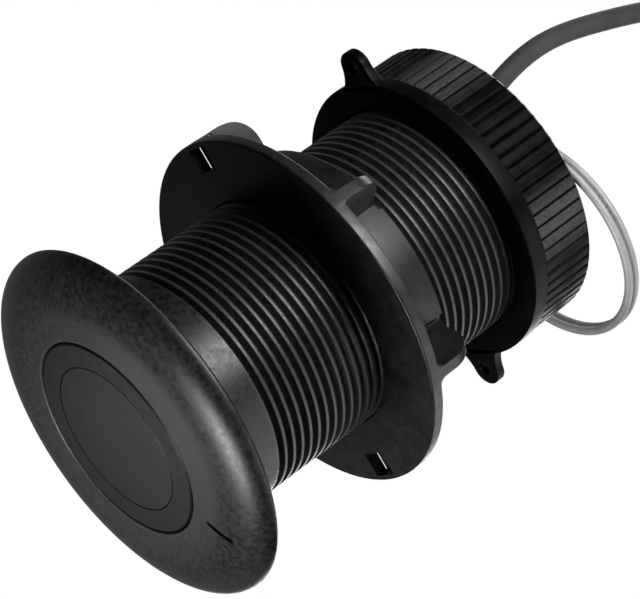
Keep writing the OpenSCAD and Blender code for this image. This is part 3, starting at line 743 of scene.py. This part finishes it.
# nut: heights over radius and sideways distance from the nearest wing's middle plane, with the underside on
# the same grid; cells of the plate holes are left out and walled
def hullNutShell(n):
    soft = n["soft"]
    draft = n["draft"]
    half = n["wingHalf"]
    touch = 1e-6
    quarter = np.linspace(0, math.pi / 2, n["softRows"])
    top = half - soft + soft * np.sin(quarter)  # over the wing's rounded upper edge
    topDrop = soft * (1 - np.cos(quarter))
    foot = half + draft + n["fillet"] * (1 - np.cos(quarter))
    footUp = n["fillet"] * (1 - np.sin(quarter))
    walls = [n["holeCore"], n["holeHalf"], n["notchHalf"], n["notchHalf"] + draft]
    coreIn = half + draft + n["fillet"] - n["holeCore"]
    coreUp = n["fillet"] - math.sqrt(n["fillet"] ** 2 - coreIn ** 2)
    offsets = np.concatenate([[0], top, foot, walls])
    rise = np.concatenate([[0], -topDrop, footUp, [coreUp, 0, 0, 0]])
    isTop = np.arange(len(offsets)) < 1 + len(top)
    order = np.argsort(offsets, kind="stable")
    offsets, isTop, rise = offsets[order], isTop[order], rise[order]
    across = np.concatenate([-offsets[:0:-1], offsets])
    onTop = np.concatenate([isTop[:0:-1], isTop])
    acrossRise = np.concatenate([rise[:0:-1], rise])
    inner = [n["bore"], n["bore"] + n["boreStep"], n["hubRow"], n["hub"] - soft, n["hub"], n["hub"] + draft]
    padEdge = n["pad"] - soft + soft * np.sin(quarter)
    outer = [n["pad"] + draft, n["plateRow"], n["holeInner"] - draft, n["holeInner"]]
    rimTurn = n["rim"] - n["wingRound"] * (1 - np.cos(np.radians(np.linspace(*n["wingTurn"]))))
    holeEnd = [n["holeOuter"], n["holeOuter"] + draft]
    rimEdge = n["rim"] - soft + soft * np.sin(quarter)
    radius = np.unique(np.round(np.concatenate([inner, padEdge, outer, rimTurn, holeEnd, rimEdge]), 4))
    r = radius[:, None]
    step = 2 * math.pi / n["wings"]
    k = np.arange(n["wings"])[:, None, None] * step + math.radians(n["wingDeg"])
    wingAngle = k + np.arcsin(across / r)[None]
    last = np.arcsin(across[-1] / r)[None]
    gaps = n["between"] - 1
    share = (np.arange(1, n["between"]) / n["between"])[None, None]
    gapAngle = k + last + (step - 2 * last) * share
    angle = np.concatenate([wingAngle, gapAngle], 2)
    angle = np.moveaxis(angle, 0, 1).reshape(len(radius), -1)
    overTurn = np.maximum(r - n["rim"] + n["wingRound"], 0)
    crest = n["wingHigh"] - n["wingRound"] + np.sqrt(np.maximum(n["wingRound"] ** 2 - overTurn ** 2, 0))
    toHub = np.clip((n["pad"] + n["padBevel"] - r) / (2 * n["padBevel"]), 0, 1)
    crest = crest + (n["high"] - n["wingHigh"]) * toHub
    rimDrop = edgeDrop(r, n["rim"], soft)
    plate = n["plate"] - rimDrop
    wingHigh = np.where(onTop, crest + acrossRise, plate + acrossRise)
    gapHigh = np.broadcast_to(plate, (len(radius), gaps))
    high = np.tile(np.concatenate([wingHigh, gapHigh], 1), (1, n["wings"]))
    lateral = np.tile(np.concatenate([np.abs(across), np.full(gaps, np.inf)]), n["wings"])[None]
    isPad = (r <= n["pad"] + touch) & (lateral >= n["notchHalf"] + touch)
    high = np.where(isPad, n["high"] - edgeDrop(r, n["pad"], soft), high)
    isWingTop = np.tile(np.concatenate([onTop, np.zeros(gaps, bool)]), n["wings"])[None]
    inNotch = (lateral < n["notchHalf"]) & ~isWingTop
    hubHigh = n["high"] - np.where(inNotch, edgeDrop(r, n["hub"], soft), 0)
    high = np.where(r <= n["hub"] + touch, hubHigh, high)
    wingNumber = np.repeat(np.arange(n["wings"]), len(across) + gaps)[None]
    hasHole = np.isin(wingNumber, n["holeWings"])
    underHole = hasHole & (r >= n["holeInner"] - touch) & (r <= n["holeOuter"] + touch)
    low = np.where(underHole & (lateral <= n["holeCore"] + draft / 2), n["plate"], 0 * high + rimDrop)
    high = np.maximum(high, low + n["least"])
    columns = high.shape[1]
    cellR = (radius[:-1] + radius[1:])[:, None] / 2
    cellSide = (lateral + np.roll(lateral, -1, 1)) / 2
    isOpen = (hasHole & np.roll(hasHole, -1, 1) & (cellR > n["holeInner"]) & (cellR < n["holeOuter"])
              & (cellSide > n["holeCore"]) & (cellSide < n["holeHalf"])).ravel()
    x, y = r * np.cos(angle), r * np.sin(angle)
    topPoints = np.stack([x, y, n["base"] + high], -1).reshape(-1, 3)
    lowPoints = np.stack([x, y, n["base"] + low], -1).reshape(-1, 3)
    quads = gridQuads(len(radius), columns, False, True)
    kept = quads[~isOpen]
    count = len(topPoints)
    edges = np.concatenate([quads[isOpen][:, [a, (a + 1) % 4]] for a in range(4)])
    index, times = np.unique(np.sort(edges, 1), axis=0, return_index=True, return_counts=True)[1:]
    wall = edges[index[times == 1]]
    holeWalls = np.stack([wall[:, 0], wall[:, 1], wall[:, 1] + count, wall[:, 0] + count], -1)
    ring = np.arange(columns)
    ringNext = (ring + 1) % columns
    boreWall = np.stack([ring, ringNext, ringNext + count, ring + count], -1)
    rimWall = boreWall + (len(radius) - 1) * columns
    everything = np.concatenate([kept, kept[:, ::-1] + count, holeWalls, boreWall, rimWall])
    return np.concatenate([topPoints, lowPoints]), everything


nutPlastic = mouldedFinish("nutPlastic", {
    "dark": 0.003, "pale": 0.012, "blotchScale": 240, "smearScale": 520, "rough": (0.32, 0.48),
    "grainScale": 2400, "grainHeight": 0.00002, "grainStrength": 0.6, "specular": 0.5,
    "wearAndHighlightRadius": (0.0386, 0.0388), "wearAndHighlightHeight": (0.0467, 0.047), "wearAndHighlightScale": 1100,
    "wearAndHighlightPatch": (0.3, 0.6), "wearAndHighlightLeast": 0.2, "wearAndHighlightPale": 0.02})
hullNutPiece = makePiece("wingedHullNut", [hullNutShell(hullNut)], nutPlastic, "clamp_nut")
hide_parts("hull_nut")

# cap nut: ribbed skirt, smooth base flange, two ears with wire holes
capNut = {
    "base": 82.7,
    "top": 100.0,
    "radius": 31.25,
    "flange": 31.55,
    "flangeThick": 3.8,
    "flangeUnder": 1.2,  # how far the flange's top runs in under the ribs
    "flangeCorners": [0.3, 0.4, 0.35, 0.1],
    "skirtRows": 8,
    "skirtFrom": 0.05,
    "skirtTo": 0.25,
    "bevel": 1.0,
    "bevelCorners": [0.1, 0.3, 0.7, 0.1],
    "bevelLead": (0.02, 1),  # a point just outside and below, for the bevel's first corner
    "topFlat": 3,
    "ribs": 72,
    "perRib": 14,
    "ribDepth": 0.75,
    "ribPower": 6,
    "ribInner": 2,  # ribs cut the bevel down to this far inside the skirt
    "bore": 25.7,
    "pocket": 24.1,
    "pocketZ": 95.3,
    "inner": 98.2,
    "opening": 19.5,
    "insideCorners": [0.1, 0.5, 0.2, 0.1, 0.1, 0.1],
    "earDegs": (21.6, 201.6),
    "earCentre": 35.05,
    "earRound": 3.6,
    "earThick": 2.2,
    "earHole": 1.3,
    "earFootDeg": 12.0,
    "earSink": 1,  # how far the foot reaches into the flange
    "earWaist": 0.6,  # how far the flanks bend in
    "earSoft": 0.35,
    "earPoints": 96,
}


# skirt: a closed profile turned about Z; where it is ribbed the radius falls by depth times the place in the
# rib, from -1 to 1, to a high power
def capSkirtShell(c):
    base, top, radius = c["base"], c["top"], c["radius"]
    flangeTop = base + c["flangeThick"]
    bevelLow = top - c["bevel"]
    topInner = [radius - c["topFlat"], top]
    flange = roundCorners([[c["bore"], base], [c["flange"], base], [c["flange"], flangeTop],
                           [radius - c["flangeUnder"], flangeTop]], c["flangeCorners"], 6)[:-5]
    skirtZ = np.linspace(flangeTop + c["skirtFrom"], bevelLow - c["skirtTo"], c["skirtRows"])
    skirt = np.stack([np.full(c["skirtRows"], radius), skirtZ], -1)
    lead = [radius + c["bevelLead"][0], bevelLow - c["bevelLead"][1]]
    bevel = roundCorners([lead, [radius, bevelLow], [radius - c["bevel"], top], topInner],
                         c["bevelCorners"], 7)[7:21]
    inside = roundCorners([topInner, [c["opening"], top], [c["opening"], c["inner"]],
                           [c["pocket"], c["inner"]], [c["pocket"], c["pocketZ"]],
                           [c["bore"], c["pocketZ"]]], c["insideCorners"], 5)
    outline = np.concatenate([flange, skirt, bevel, inside])
    angle = np.linspace(0, 2 * math.pi, c["ribs"] * c["perRib"], endpoint=False)
    place = (angle * c["ribs"] / (2 * math.pi) + 0.5) % 1 - 0.5
    ribbed = radius - c["ribDepth"] * np.abs(2 * place) ** c["ribPower"]
    pastFlange = np.arange(len(outline)) >= len(flange)
    outer = pastFlange & (outline[:, 1] < top - 1e-6) & (outline[:, 0] > radius - c["ribInner"])
    r = np.where(outer[:, None], np.minimum(outline[:, :1], ribbed[None]), outline[:, :1])
    points = np.stack([r * np.cos(angle), r * np.sin(angle), outline[:, 1:] + 0 * angle], -1)
    return points.reshape(-1, 3), gridQuads(len(outline), len(angle), True, True)


# ear: a rounded section carried round between the ear's outline and its wire hole, point to point at the same
# angle about the hole
def earShell(c, deg):
    footTurn = math.radians(c["earFootDeg"])
    foot = [c["flange"] * math.cos(footTurn) - c["earSink"], c["flange"] * math.sin(footTurn)]
    tip = ovalArc((c["earCentre"], 0), (c["earRound"], c["earRound"]), -89, 89, 25)
    t = np.linspace(0, 1, 12)[:, None]
    waist = np.array([c["flange"] + c["earWaist"], c["earRound"] + c["earWaist"]])
    tipSide = np.array([c["earCentre"], c["earRound"]])
    flank = (1 - t) ** 2 * foot + 2 * t * (1 - t) * waist + t ** 2 * tipSide
    corners = np.concatenate([flank * [1, -1], tip, flank[::-1]])
    loop = np.concatenate([corners, corners[:1]])
    along = chainLength(loop)
    even = np.linspace(0, along[-1], c["earPoints"] + 1)[:-1]
    outline = np.stack([np.interp(even, along, loop[:, k]) for k in (0, 1)], -1)
    middle = np.array([c["earCentre"], 0])
    around = np.arctan2(outline[:, 1], outline[:, 0] - middle[0])
    hole = middle + c["earHole"] * np.stack([np.cos(around), np.sin(around)], -1)
    thick = c["earThick"]
    section = roundCorners([[0, 0], [0, thick], [1, thick], [1, 0]], c["earSoft"], 5)
    inward = section[:, 0]
    reach = np.linalg.norm(hole - outline, axis=1)[:, None]
    inward = np.where(inward > 0.5, 1 - (1 - inward) / reach, inward / reach)
    flat = outline[:, None] + (hole - outline)[:, None] * inward[..., None]
    turn = math.radians(deg)
    x = flat[..., 0] * math.cos(turn) - flat[..., 1] * math.sin(turn)
    y = flat[..., 0] * math.sin(turn) + flat[..., 1] * math.cos(turn)
    z = np.broadcast_to(c["base"] + section[None, :, 1], x.shape)
    return np.stack([x, y, z], -1).reshape(-1, 3), gridQuads(len(outline), len(section), True, True)


# cap: the rib tips are pale only in five zones round the axis, broken up by patches; this is a painted
# highlight where the ribs would catch the lamps
capPlastic = mouldedFinish("capPlastic", {
    "dark": 0.002, "pale": 0.006, "blotchScale": 240, "smearScale": 520, "rough": (0.32, 0.42),
    "grainScale": 2400, "grainHeight": 0.00002, "grainStrength": 0.6, "specular": 0.08,
    "wearAndHighlightRadius": (0.0309, 0.03115), "wearAndHighlightHeight": (0.0866, 0.0869), "wearAndHighlightScale": 1500,
    "wearAndHighlightPatch": (0.3, 0.6), "wearAndHighlightLeast": 0.45, "wearAndHighlightPale": 0.07,
    "highlightZones": 5, "highlightZoneDeg": -133, "highlightZoneSpan": (0.2, 0.95)})
capShells = [capSkirtShell(capNut)] + [earShell(capNut, deg) for deg in capNut["earDegs"]]
capPiece = makePiece("ribbedCapNut", capShells, capPlastic, "lock_nut")
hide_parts("cap_nut")

# pull ring: two turns of steel wire
pullRing = {
    "centre": (17.4313, -6.3445, 102.05),
    "radius": 22.25,
    "wireAcross": 0.9,
    "wireUp": 0.845,
    "step": 1.7,
    "sides": 24,
    "perTurn": 240,
    "startDeg": 120.0,  # end of the lower turn
    "rampDeg": 40.0,
    "endGapDeg": 1.6,
    "endRows": 6,
}


# split ring: the angle runs over two turns less one ramp; the wire lies low, climbs along the ramp, then lies
# high, and each end closes in a half round
def splitRingShell(w):
    ramp = math.radians(w["rampDeg"])
    gap = math.radians(w["endGapDeg"])
    run = np.linspace(gap, 4 * math.pi - ramp - gap, 2 * w["perTurn"])
    cap = np.linspace(0, 1, w["endRows"] + 1)[1:]
    capShift = w["wireAcross"] / w["radius"] * cap
    full = np.concatenate([run[0] - capShift[::-1], run, run[-1] + capShift])
    swell = np.sqrt(np.maximum(1 - cap ** 2, 0))
    swell = np.concatenate([swell[::-1], np.ones(len(run)), swell])[:, None]
    lift = smoothStep((full - (2 * math.pi - ramp)) / ramp) - 0.5
    angle = math.radians(w["startDeg"]) + full
    psi = np.linspace(0, 2 * math.pi, w["sides"], endpoint=False)
    r = w["radius"] + swell * w["wireAcross"] * np.cos(psi)
    z = w["centre"][2] + (w["step"] * lift)[:, None] + swell * w["wireUp"] * np.sin(psi)
    x = w["centre"][0] + r * np.cos(angle)[:, None]
    y = w["centre"][1] + r * np.sin(angle)[:, None]
    return np.stack([x, y, z], -1).reshape(-1, 3), gridQuads(len(full), w["sides"], False, True)


ringSteel = metalFinish("ringSteel", {
    "dark": (0.48, 0.48, 0.485, 1), "pale": (0.58, 0.58, 0.585, 1), "streak": (1, 1, 1),
    "streakScale": 120, "streakBump": 0.0, "spotScale": 150, "rough": (0.68, 0.78)})
ringPiece = makePiece("splitPullRing", [splitRingShell(pullRing)], ringSteel, "pull_loop")
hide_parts("pull_ring")

# finishes of the CAD nodes that stay
insertPlastic = mouldedFinish("insertPlastic", {
    "dark": 0.003, "pale": 0.007, "blotchScale": 220, "smearScale": 480, "rough": (0.36, 0.5),
    "grainScale": 3000, "grainHeight": 0.00005, "grainStrength": 0.3, "specular": 0.25})
windowUrethane = mouldedFinish("windowUrethane", {
    "dark": 0.003, "pale": 0.007, "blotchScale": 140, "smearScale": 300, "rough": (0.34, 0.44),
    "grainScale": 4200, "grainHeight": 0.00003, "grainStrength": 0.25, "specular": 0.28})
sealRubber = mouldedFinish("sealRubber", {
    "dark": 0.01, "pale": 0.022, "blotchScale": 300, "smearScale": 500, "rough": (0.45, 0.6),
    "grainScale": 6000, "grainHeight": 0.00002, "grainStrength": 0.3, "specular": 0.45})
resin = mouldedFinish("pottingResin", {
    "dark": 0.05, "pale": 0.085, "tint": (1.0, 0.85, 0.6), "blotchScale": 120, "smearScale": 260,
    "rough": (0.25, 0.4), "grainScale": 1800, "grainHeight": 0.00003, "grainStrength": 0.2, "specular": 0.5})
ceramic = fleckedFinish("piezoCeramic", {
    "dark": (0.62, 0.58, 0.48, 1), "pale": (0.74, 0.7, 0.6, 1), "cellScale": 2200, "dustScale": 900,
    "rough": (0.4, 0.6), "height": 0.00002})
cork = fleckedFinish("corkSheet", {
    "dark": (0.22, 0.12, 0.055, 1), "pale": (0.52, 0.34, 0.19, 1), "cellScale": 900, "dustScale": 600,
    "rough": (0.75, 0.95), "height": 0.0002})
leadRed = fleckedFinish("leadCoverRed", {
    "dark": (0.42, 0.03, 0.02, 1), "pale": (0.5, 0.045, 0.03, 1), "cellScale": 1500, "dustScale": 800,
    "rough": (0.35, 0.5), "height": 0.00001})
leadBlue = fleckedFinish("leadCoverBlue", {
    "dark": (0.02, 0.05, 0.3, 1), "pale": (0.03, 0.07, 0.38, 1), "cellScale": 1500, "dustScale": 800,
    "rough": (0.35, 0.5), "height": 0.00001})
plugNickel = metalFinish("plugNickel", {
    "dark": (0.52, 0.51, 0.48, 1), "pale": (0.68, 0.67, 0.64, 1), "streak": (1, 6, 6),
    "streakScale": 700, "streakBump": 0.4, "spotScale": 400, "rough": (0.2, 0.34)})
pinBrass = metalFinish("pinBrass", {
    "dark": (0.62, 0.44, 0.16, 1), "pale": (0.78, 0.58, 0.25, 1), "streak": (6, 1, 1),
    "streakScale": 900, "streakBump": 0.4, "spotScale": 500, "rough": (0.18, 0.3)})
nodeFinish = {
    "insert_shell": insertPlastic, "acoustic_window": windowUrethane, "insert_cover": insertPlastic,
    "lower_o_ring": sealRubber, "upper_o_ring": sealRubber, "piezo_disc": ceramic, "cork_sleeve": cork,
    "cork_pad": cork, "lead_wire_a": leadRed, "lead_wire_b": leadBlue, "potting": resin,
    "plug_shell": plugNickel, "plug_carrier": sealRubber, "plug_pins": pinBrass,
    "housing": housingPlastic, "hull_nut": nutPlastic, "cap_nut": capPlastic, "pull_ring": ringSteel,
    "cable_run": jacket, "cable_coil": jacket, "cable_tail": jacket, "cable_boot": rubber,
    "plug_body": rubber, "coil_tie": strapWeave,
}
for nodeName, finish in nodeFinish.items():
    nodes[nodeName].data.materials.clear()
    nodes[nodeName].data.materials.append(finish)
print("finishes set on", len(nodeFinish), "nodes")

# floor, backdrop and lamps
stage = {
    "floorHalf": 3.0,
    "floorZ": -0.0003,
    "floorColour": (0.15, 0.15, 0.15, 1),
    "floorGlow": 0.62,  # what the camera sees of the floor besides the lamps' light
    "floorRough": 0.9,
    "floorSpecular": 0.1,
    "ambient": 0.06,
    "horizon": 0.66,  # the backdrop low down, where it meets the floor
    "horizonSpan": (0.05, 0.3),  # heights of a direction between the horizon's level and white
    # backdrop in reflections: brighter towards +Y and upwards, never below the last value
    "wallSpan": (0.3, 0.9),
    "wallHeights": (-0.45, -0.1),
    "wallLevels": (0.01, 0.26),
    "wallLeast": 0.008,
    "lamps": [
        # name, place, point it is turned to, width and height, level (1 lights white to white)
        ("keyLamp", (-0.03, -0.225, 0.125), (0, -0.025, 0.03), (0.11, 0.09), 1.05),
        ("sideLamp", (1.06, -0.14, 0.52), (0, 0, 0.05), (1.9, 0.8), 0.65),
        ("lowLamp", (0.13, -0.02, -0.33), (0, 0, 0), (0.16, 0.16), 1.3),
        ("faceLamp", (0.004, 0.088, -0.072), (0, 0, 0), (0.05, 0.04), 0.095),
        ("backLamp", (0.25, 0.75, 0.46), (0, 0, 0.05), (0.5, 0.5), 0.4),
        ("topLamp", (-0.15, 0.3, 1.0), (0, 0, 0.1), (0.7, 0.7), 0.9),
    ],
}
floorCorner = stage["floorHalf"] * np.array([[-1, -1, 0], [1, -1, 0], [1, 1, 0], [-1, 1, 0]])
floorMesh = bpy.data.meshes.new("floorSheet")
floorMesh.from_pydata((floorCorner + [0, 0, stage["floorZ"]]).tolist(), [], [(0, 1, 2, 3)])
floorSheet = bpy.data.objects.new("floorSheet", floorMesh)
scene.collection.objects.link(floorSheet)
for ray in ("visible_diffuse", "visible_glossy", "visible_transmission"):
    setattr(floorSheet, ray, False)

# the floor is clear from below and to shadow rays, so that the low lamps reach the part
floorMaterial, tree, shader = newMaterial("paleFloor")
shader.inputs["Base Color"].default_value = stage["floorColour"]
shader.inputs["Roughness"].default_value = stage["floorRough"]
shader.inputs["Specular IOR Level"].default_value = stage["floorSpecular"]
shader.inputs["Emission Color"].default_value = grey(1)
rays = addNode(tree, "ShaderNodeLightPath")
glow = rangeNode(tree, rays.outputs["Is Camera Ray"], 0, 1, 0, stage["floorGlow"])
tree.links.new(glow, shader.inputs["Emission Strength"])
fromBelow = addNode(tree, "ShaderNodeNewGeometry").outputs["Backfacing"]
isClear = mathNode(tree, "MAXIMUM", fromBelow, rays.outputs["Is Shadow Ray"])
mixed = addNode(tree, "ShaderNodeMixShader")
tree.links.new(isClear, mixed.inputs["Fac"])
tree.links.new(shader.outputs["BSDF"], mixed.inputs[1])
tree.links.new(addNode(tree, "ShaderNodeBsdfTransparent").outputs["BSDF"], mixed.inputs[2])
tree.links.new(mixed.outputs["Shader"], tree.nodes["Material Output"].inputs["Surface"])
floorMesh.materials.append(floorMaterial)

# world: white where the camera looks past the part, a backdrop that fades to dark for reflections, dim else
world = bpy.data.worlds.new("paleRoom")
scene.world = world
world.use_nodes = True
tree = world.node_tree
rays = addNode(tree, "ShaderNodeLightPath")
way = addNode(tree, "ShaderNodeSeparateXYZ")
tree.links.new(addNode(tree, "ShaderNodeTexCoord").outputs["Generated"], way.inputs["Vector"])
behind = rangeNode(tree, way.outputs["Y"], *stage["wallSpan"], 0, 1)
wallLevel = rangeNode(tree, way.outputs["Z"], *stage["wallHeights"], *stage["wallLevels"])
wall = mathNode(tree, "MULTIPLY_ADD", behind, wallLevel, stage["wallLeast"])
sky = rangeNode(tree, way.outputs["Z"], *stage["horizonSpan"], stage["horizon"], 1)
seen = mathNode(tree, "MAXIMUM", rays.outputs["Is Camera Ray"], rays.outputs["Is Transmission Ray"])
shine = mixNode(tree, "FLOAT", rays.outputs["Is Glossy Ray"], stage["ambient"], wall)
backdrop = tree.nodes["Background"]
backdrop.inputs["Color"].default_value = grey(1)
tree.links.new(mixNode(tree, "FLOAT", seen, shine, sky), backdrop.inputs["Strength"])

for name, place, aim, size, level in stage["lamps"]:
    toLamp = np.subtract(place, aim)
    distance = np.linalg.norm(toLamp)
    toLamp /= distance
    side = np.cross((0, 0, 1), toLamp)
    side /= np.linalg.norm(side)
    lampData = bpy.data.lights.new(name, "AREA")
    lampData.shape = "RECTANGLE"
    lampData.size, lampData.size_y = size
    lampData.energy = level * math.pi ** 2 * distance ** 2
    lamp = bpy.data.objects.new(name, lampData)
    scene.collection.objects.link(lamp)
    lamp.visible_camera = False
    lamp.matrix_world = standAt(place, side, np.cross(toLamp, side), toLamp)
print("stage set")
